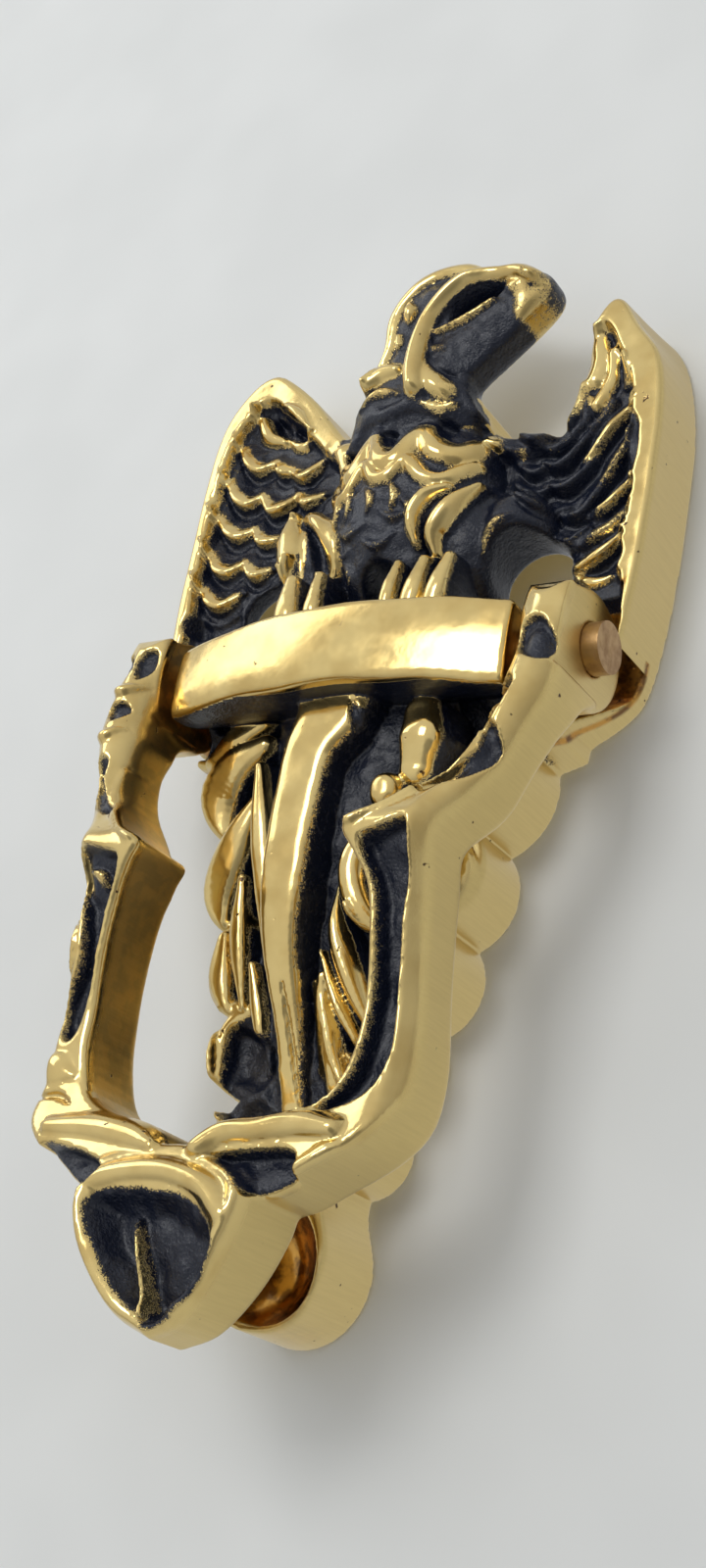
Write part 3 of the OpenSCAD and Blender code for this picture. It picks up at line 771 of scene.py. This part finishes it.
def sculpt_left_arm(r):
    # dark spots and worn waves down the ear and shoulder, then a slit and a ridge down to the cusp
    r.pit([(-46, 2.6), (-44, 4), (-42.8, 0.4), (-44.8, -2.6)], 1.6, 0.9)
    r.pit([(-41.6, 3.8), (-39, 4.6), (-38.4, 0.6), (-40.8, -2.4), (-42, 0.6)], 1.6, 0.9)
    r.ridge([(-46, -4.4), (-42, -5), (-38.6, -3.6)], 1.5, 1.3)
    r.pit([(-44.4, -8.6), (-41, -7.4), (-39.4, -9.6), (-42, -12)], 1.5, 0.9)
    r.ridge([(-45.4, -14.6), (-42, -15.4), (-38.6, -13.6)], 1.6, 1.2)
    r.groove([(-40.6, -21.5, 1.2), (-39.6, -25, 0.9), (-36.4, -30, 0.7), (-33.2, -32.6, 0.4)], 1.7, 2.2)
    r.ridge([(-36, -22, 0.5), (-34, -28, 1), (-28.4, -34.8, 1), (-22, -39.8, 0.9)], 1.6, 1.2)
    # the left channel is narrower, and its outer side is worn back to brass
    r.pit([(-24, -43.4), (-27.4, -41.8), (-33.2, -41), (-33.4, -47), (-31.6, -53), (-30.8, -60),
           (-32.4, -65), (-33.4, -70), (-31.4, -73.6), (-29.2, -72.4), (-27.9, -66), (-27.3, -57),
           (-26.2, -50)], 3.2, 1.4)
    for points in ([(-31.6, -44.6), (-29, -45.8), (-28.4, -47.6)],
                   [(-34, -51), (-33.2, -57), (-33.6, -63)]):
        r.ridge(points, 1.4, 1.6, gold=0.8)
    r.ridge([(-35, -76.4), (-31, -78.4), (-27, -79.6)], 3, 1.2)
    r.groove([(-34.4, -83.6), (-29, -83.2), (-25, -84.8)], 0.9, 1.2, dark=0.3)
    r.ridge([(-4.6, -91.4, 0.6), (-10, -89.6, 1), (-18, -88.4, 1), (-27, -88.6, 0.7)], 2.4, 1.4)
    r.pit([(-12, -95.6), (-18, -92.8), (-27, -91.6), (-25.4, -95), (-18, -99.6), (-14.6, -99)], 3.2, 1.4)


def sculpt_finial(r, finial):
    """A leaf-shaped shield: broad bright rim, one dark bowl, and a thin rib down its middle."""
    low = ease(-r.z, 92, 96)
    r.up = np.maximum(r.up, 1.2 * ease(finial, -4.2, -1.2) * low * ease(-finial, -0.3, 1.2))
    shield = [(-13.4, -97.4), (-7.1, -95.8), (0.8, -95.6), (8.1, -97.8), (13, -102)]
    r.ridge([(x, z, 1) for x, z in shield], 2.2, 1.6)
    edge = [(-12, -100.6), (-8.7, -99.4), (-1.7, -99.2), (4.4, -100.1), (8.9, -102.6), (12, -106),
            (10.8, -110), (7.6, -114), (3.1, -117.2), (0.2, -117.8), (-3.5, -114.8), (-7.3, -110.4),
            (-10.8, -105.6)]
    bowl = r.whole(curve(edge, 3, closed=True)) + waves(r, 41, 2.2, 0.22) - 0.7
    r.down = np.maximum(r.down, 4.6 * ease(-bowl, -0.4, 4.2))
    r.gold = np.minimum(r.gold, 1 - ease(-bowl, -0.4, 0.6))
    r.ridge([(-4.6, -102.6, 0.4), (-3.4, -106.3, 0.8), (-1.8, -111.5, 1), (-0.2, -116.6, 1)], 0.95, 3.4,
            gold=0.9)


def sculpt_knocker():
    r = Relief((-50, 50), (-122, 13), 30)
    arms = symmetric(r, np.vstack([curve(ARM_OUTER, 4), curve(ARM_INNER, 4)]))
    finial = symmetric(r, curve(FINIAL_HALF, 4))
    outline = smin(arms, finial, 1.0)
    r.h = profile(FRONT_PROFILE, r.z)
    r.gold[:] = 1
    outer = ease(np.abs(r.x), 30, 34) * ease(r.z, -88, -80)
    r.h -= 1.2 * ease(outline, -4, 0) * outer
    sculpt_right_arm(r)
    sculpt_left_arm(r)
    sculpt_finial(r, finial)
    r.settle()
    r.h += waves(r, 9, 6.0, 0.08)
    r.h += waves(r, 23, GRAIN, 0.14) * (1 - r.gold)
    return r, outline


def build_knocker():
    r, outline = sculpt_knocker()
    depths, x, d, z = space(r, 6.0, 48.5)
    back = profile(BACK_PROFILE, r.zs)[None, None, :]
    soft = 1.4 + 3.2 * ease(np.abs(r.x), 29, 34) * ease(r.z, -90, -80) * ease(-r.z, -4, 6)
    body = smax(outline[:, None, :], front_field(r, depths), soft[:, None, :])
    body = smax(body, back - d, 1.6)
    hinge = np.hypot(d - AXIS_DEPTH, z)
    ear_side = np.maximum(EAR_IN - np.abs(x), np.abs(x) - EAR_OUT)
    body = smin(body, smax(hinge - EAR_R, ear_side, 1.2), 1.5)
    # nothing of the ears may come nearer to the reliefs than the design's corner
    near_hinge = ease(z, -9, -6)
    body = np.where(near_hinge > 0, np.maximum(body, ear_side * near_hinge), body)
    boss = smax(np.hypot(x, z - BOSS_Z) - BOSS_R, BOSS_DEPTH - d, 1.0)
    body = np.minimum(body, np.maximum(boss, d - 30))
    body = np.maximum(body, EAR_BORE_R - hinge)

    def patina_and_shade(px, pd, pz):
        gold = r.at(r.gold, px, pz)
        front = r.at(r.h, px, pz)
        inside = ease(-r.at(outline, px, pz), 0.0, 0.8)
        return (1 - gold) * ease(pd - front, -4, -1.5) * inside

    def satin(px, pd, pz):
        front = r.at(r.h, px, pz)
        return ease(front - pd, 1.2, 3.5)

    def brown_and_shade(px, pd, pz):
        """Brown painted shade on the ears' faces beside the band; weaker brown on the arms' inner walls."""
        beside_band = 1 - ease(np.abs(np.abs(px) - EAR_IN), 0.5, 1.5)
        beside_band = beside_band * ease(pz, -16, -6) * ease(30 - pd, 0, 3)
        front = r.at(r.h, px, pz)
        inner = 1 - ease(np.abs(px) - 29.5 - 9 * ease(pz, -41, -28), 0, 1)
        inner = inner * ease(front - pd, 0.8, 3) * ease(pz, -90, -84)
        # painted shade: brown in the gap between each ear and the band
        return np.maximum(0.7 * beside_band, 0.3 * inner)

    return mesh_of("knocker_loop", body, r, depths, patina_and_shade, satin, brown_and_shade)


# ---- materials
class Nodes:
    """A little help to wire the nodes of a new material or world."""

    def __init__(self, owner):
        owner.use_nodes = True
        self.owner = owner
        self.tree = owner.node_tree
        self.coordinates = self.add("ShaderNodeTexCoord").outputs

    def add(self, kind, **settings):
        node = self.tree.nodes.new(kind)
        for key, value in settings.items():
            setattr(node, key, value)
        return node

    def feed(self, socket, value):
        """Gives a socket a number, a colour, or another node's output."""
        if isinstance(value, bpy.types.NodeSocket):
            self.tree.links.new(value, socket)
        elif isinstance(value, tuple):
            socket.default_value = value + (1,)
        else:
            socket.default_value = value

    def surface(self, **values):
        """Sets the Principled shader's inputs; an underscore stands for a space."""
        shader = self.tree.nodes["Principled BSDF"]
        for name, value in values.items():
            self.feed(shader.inputs[name.replace("_", " ")], value)
        return shader.outputs[0]

    def noise(self, scale, detail=3.0, stretch=(1, 1, 1)):
        """Noise with waves 1/scale mm long."""
        mapping = self.add("ShaderNodeMapping")
        mapping.inputs["Scale"].default_value = tuple(s * 1000 * scale for s in stretch)
        self.feed(mapping.inputs["Vector"], self.coordinates["Object"])
        noise = self.add("ShaderNodeTexNoise")
        noise.inputs["Scale"].default_value = 1
        noise.inputs["Detail"].default_value = detail
        noise.inputs["Roughness"].default_value = 0.55
        self.feed(noise.inputs["Vector"], mapping.outputs[0])
        return noise.outputs["Fac"]

    def attribute(self, name):
        return self.add("ShaderNodeAttribute", attribute_name=name).outputs["Fac"]

    def math(self, operation, a, b):
        node = self.add("ShaderNodeMath", operation=operation)
        self.feed(node.inputs[0], a)
        self.feed(node.inputs[1], b)
        return node.outputs[0]

    def ramp(self, value, lo, hi, out_lo=0.0, out_hi=1.0):
        node = self.add("ShaderNodeMapRange", interpolation_type="SMOOTHSTEP")
        for key, number in zip(("From Min", "From Max", "To Min", "To Max"), (lo, hi, out_lo, out_hi)):
            node.inputs[key].default_value = number
        self.feed(node.inputs["Value"], value)
        return node.outputs[0]

    def mix(self, factor, a, b, kind="RGBA"):
        """Between two colours, or between two numbers where kind is FLOAT."""
        node = self.add("ShaderNodeMix", data_type=kind)
        self.feed(node.inputs["Factor"], factor)
        self.feed(node.inputs["A"], a)
        self.feed(node.inputs["B"], b)
        return node.outputs["Result"]

    def bump(self, height, strength, distance_mm):
        node = self.add("ShaderNodeBump")
        node.inputs["Strength"].default_value = strength
        node.inputs["Distance"].default_value = distance_mm * MM
        self.feed(node.inputs["Height"], height)
        return node.outputs["Normal"]


BRASS = (0.76, 0.58, 0.24)
BRASS_WORN = (0.64, 0.46, 0.17)
BRASS_SATIN = (0.74, 0.57, 0.235)
BRASS_BRUSHED = (0.70, 0.535, 0.22)
# these browns are the tip's lacquer, and also painted shade in the relief pockets and beside the band
LACQUER_AND_SHADE = (0.62, 0.33, 0.07)
LACQUER_AND_SHADE_DARK = (0.20, 0.10, 0.035)
PIT = (0.10, 0.06, 0.03)
# the patina blacks also serve as painted shade under and behind the hinge band
BLACK_PATINA_AND_SHADE = (0.006, 0.009, 0.021)
WORN_PATINA_AND_SHADE = (0.026, 0.028, 0.040)
ROD_BROWN = (0.50, 0.32, 0.15)
ROD_DARK = (0.34, 0.20, 0.09)
BOARD, BOARD_PALE = (0.69, 0.70, 0.685), (0.73, 0.74, 0.725)


def antique_brass(name):
    """Polished brass, satin on ground walls, brown lacquer, black patina in low parts, painted shade in both.
    """
    n = Nodes(bpy.data.materials.new(name))
    ragged = n.math("ADD", n.math("MULTIPLY", n.noise(0.9, 4), 0.62), n.noise(4.2, 3))
    edge = n.math("ADD", n.attribute("patina_and_shade"), n.math("SUBTRACT", ragged, 0.81))
    dark = n.ramp(edge, 0.43, 0.57)
    satin = n.attribute("satin")
    brushed = n.noise(2.4, 3, stretch=(1, 0.05, 1))
    tone = n.mix(n.ramp(n.noise(0.10, 3), 0.35, 0.7), BRASS, BRASS_WORN)
    wall_tone = n.mix(n.ramp(brushed, 0.3, 0.75), BRASS_SATIN, BRASS_BRUSHED)
    tone = n.mix(satin, tone, wall_tone)
    # brown of the lacquer, also used as painted shade beside the ears and the band
    lacquer_and_shade_tone = n.mix(n.ramp(n.noise(0.35, 4), 0.4, 0.6), LACQUER_AND_SHADE, LACQUER_AND_SHADE_DARK)
    tone = n.mix(n.attribute("brown_and_shade"), tone, lacquer_and_shade_tone)
    specks = n.ramp(n.noise(0.42, 2), 0.72, 0.76)
    tone = n.mix(specks, tone, PIT)
    black = n.mix(n.ramp(n.noise(0.8, 4), 0.52, 0.75), BLACK_PATINA_AND_SHADE, WORN_PATINA_AND_SHADE)
    polish = n.ramp(n.noise(0.25, 4), 0.3, 0.75, 0.11, 0.24)
    polish = n.mix(satin, polish, 0.37, "FLOAT")
    lumps = n.math("ADD", n.noise(0.5, 3), n.math("MULTIPLY", n.noise(1.9, 4), 0.75))
    height = n.math("MULTIPLY", lumps, dark)
    height = n.math("ADD", height, n.math("MULTIPLY", n.math("MULTIPLY", brushed, satin), 0.05))
    height = n.math("SUBTRACT", height, n.math("MULTIPLY", specks, 0.35))
    height = n.math("ADD", height, n.math("MULTIPLY", n.noise(0.35, 2), 0.10))
    n.surface(
        Base_Color=n.mix(dark, tone, black),
        Metallic=n.mix(dark, 1.0, 0.0, "FLOAT"),
        Roughness=n.mix(dark, polish, 0.18, "FLOAT"),
        Specular_IOR_Level=0.36,
        Coat_Weight=0.10,
        Coat_Roughness=0.15,
        Normal=n.bump(height, 0.6, 0.5),
    )
    return n.owner


def rod_brass(name):
    n = Nodes(bpy.data.materials.new(name))
    n.surface(
        Base_Color=n.mix(n.ramp(n.noise(0.3, 4), 0.35, 0.7), ROD_BROWN, ROD_DARK),
        Metallic=1,
        Roughness=n.ramp(n.noise(0.6, 4), 0.3, 0.7, 0.3, 0.5),
        Normal=n.bump(n.noise(2.0, 3, stretch=(1, 1, 0.15)), 0.4, 0.05),
    )
    return n.owner


# ---- pieces
for piece, body, node in ((build_plate(), "plate", "backplate"), (build_knocker(), "knocker", "knocker")):
    piece.data.materials.append(antique_brass(body + "_antique_brass"))
    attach(piece, body)
    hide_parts(node)

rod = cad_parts["hinge_rod"]
rod_material = rod_brass("rod_sawn_brass")
if not rod.material_slots:
    rod.data.materials.append(None)
for slot in rod.material_slots:
    slot.link = "OBJECT"
    slot.material = rod_material


# ---- stage, light and camera
def stage_material():
    """A matt board, clear from behind. Bounced rays shorter than 30 mm pass it, so it adds no glare close by.

    Rays from the camera are far longer than that, so to the camera it is plain."""
    n = Nodes(bpy.data.materials.new("pale_board"))
    tone = n.mix(n.ramp(n.noise(0.02, 2), 0.3, 0.7), BOARD, BOARD_PALE)
    matt = n.surface(Base_Color=tone, Roughness=0.55)
    behind = n.add("ShaderNodeNewGeometry").outputs["Backfacing"]
    close = n.math("LESS_THAN", n.add("ShaderNodeLightPath").outputs["Ray Length"], 0.03)
    both = n.add("ShaderNodeMixShader")
    n.feed(both.inputs[0], n.math("MAXIMUM", behind, close))
    n.feed(both.inputs[1], matt)
    n.feed(both.inputs[2], n.add("ShaderNodeBsdfTransparent").outputs[0])
    n.feed(n.tree.nodes["Material Output"].inputs["Surface"], both.outputs[0])
    return n.owner


def make_stage():
    half, back = 1.6, 0.0006
    mesh = bpy.data.meshes.new("pale_board")
    mesh.from_pydata([(-half, back, -half), (half, back, -half), (half, back, half), (-half, back, half)],
                     [], [(0, 1, 2, 3)])
    board = bpy.data.objects.new("pale_board", mesh)
    mesh.materials.append(stage_material())
    bpy.context.scene.collection.objects.link(board)


def soft_light(name, place, target, size, watts, colour=(1, 1, 1)):
    data = bpy.data.lights.new(name, "AREA")
    data.shape = "SQUARE"
    data.size = size
    data.energy = watts
    data.color = colour
    lamp = bpy.data.objects.new(name, data)
    lamp.location = place
    lamp.rotation_euler = (Vector(target) - Vector(place)).to_track_quat("-Z", "Y").to_euler()
    bpy.context.scene.collection.objects.link(lamp)


# Brightness of the room by direction: a direction, the cosines it fades between, and its two levels
WORLD_PATCHES = [
    ((-0.25, -1, 0.35), -0.2, 0.95, 0.42, 0.80),
    ((0.5, -0.73, -0.47), 0.80, 0.97, 1.0, 0.45),
    ((0, 1, 0), 0.3, 0.8, 1.0, 1.5),
]


def make_world():
    n = Nodes(bpy.data.worlds.new("studio"))
    bpy.context.scene.world = n.owner
    level = 1.0
    for towards, lo, hi, low, high in WORLD_PATCHES:
        dot = n.add("ShaderNodeVectorMath", operation="DOT_PRODUCT")
        n.feed(dot.inputs[0], n.coordinates["Generated"])
        dot.inputs[1].default_value = Vector(towards).normalized()
        level = n.math("MULTIPLY", level, n.ramp(dot.outputs["Value"], lo, hi, low, high))
    background = n.tree.nodes["Background"]
    n.feed(background.inputs["Color"], (0.98, 0.99, 1.0))
    n.feed(background.inputs["Strength"], level)


def make_camera():
    yaw, pitch, roll = math.radians(36.59), math.radians(-23.03), math.radians(-11.01)
    back = Vector((math.sin(yaw) * math.cos(pitch), -math.cos(yaw) * math.cos(pitch), math.sin(pitch)))
    right = (-back).cross(Vector((0, 0, 1))).normalized()
    down = (-back).cross(right)
    x_axis = math.cos(roll) * right + math.sin(roll) * down
    y_axis = math.sin(roll) * right - math.cos(roll) * down
    data = bpy.data.cameras.new("camera")
    data.sensor_width = 36
    data.lens = 45
    data.clip_start = 0.01
    camera = bpy.data.objects.new("camera", data)
    turn = Matrix((x_axis, y_axis, back)).transposed().to_4x4()
    camera.matrix_world = Matrix.Translation(Vector((187.8, -267.6, -153.0)) * MM) @ turn
    bpy.context.scene.collection.objects.link(camera)
    bpy.context.scene.camera = camera


make_stage()
make_world()
soft_light("ceiling_panel", (-0.20, -1.25, 0.36), (0, 0, 0), 0.5, 4.2)
soft_light("left_window", (-1.1, -0.7, 0.8), (0, 0, 0), 0.7, 3.0, (0.94, 0.97, 1.0))
make_camera()
bpy.context.scene.view_settings.view_transform = "Standard"
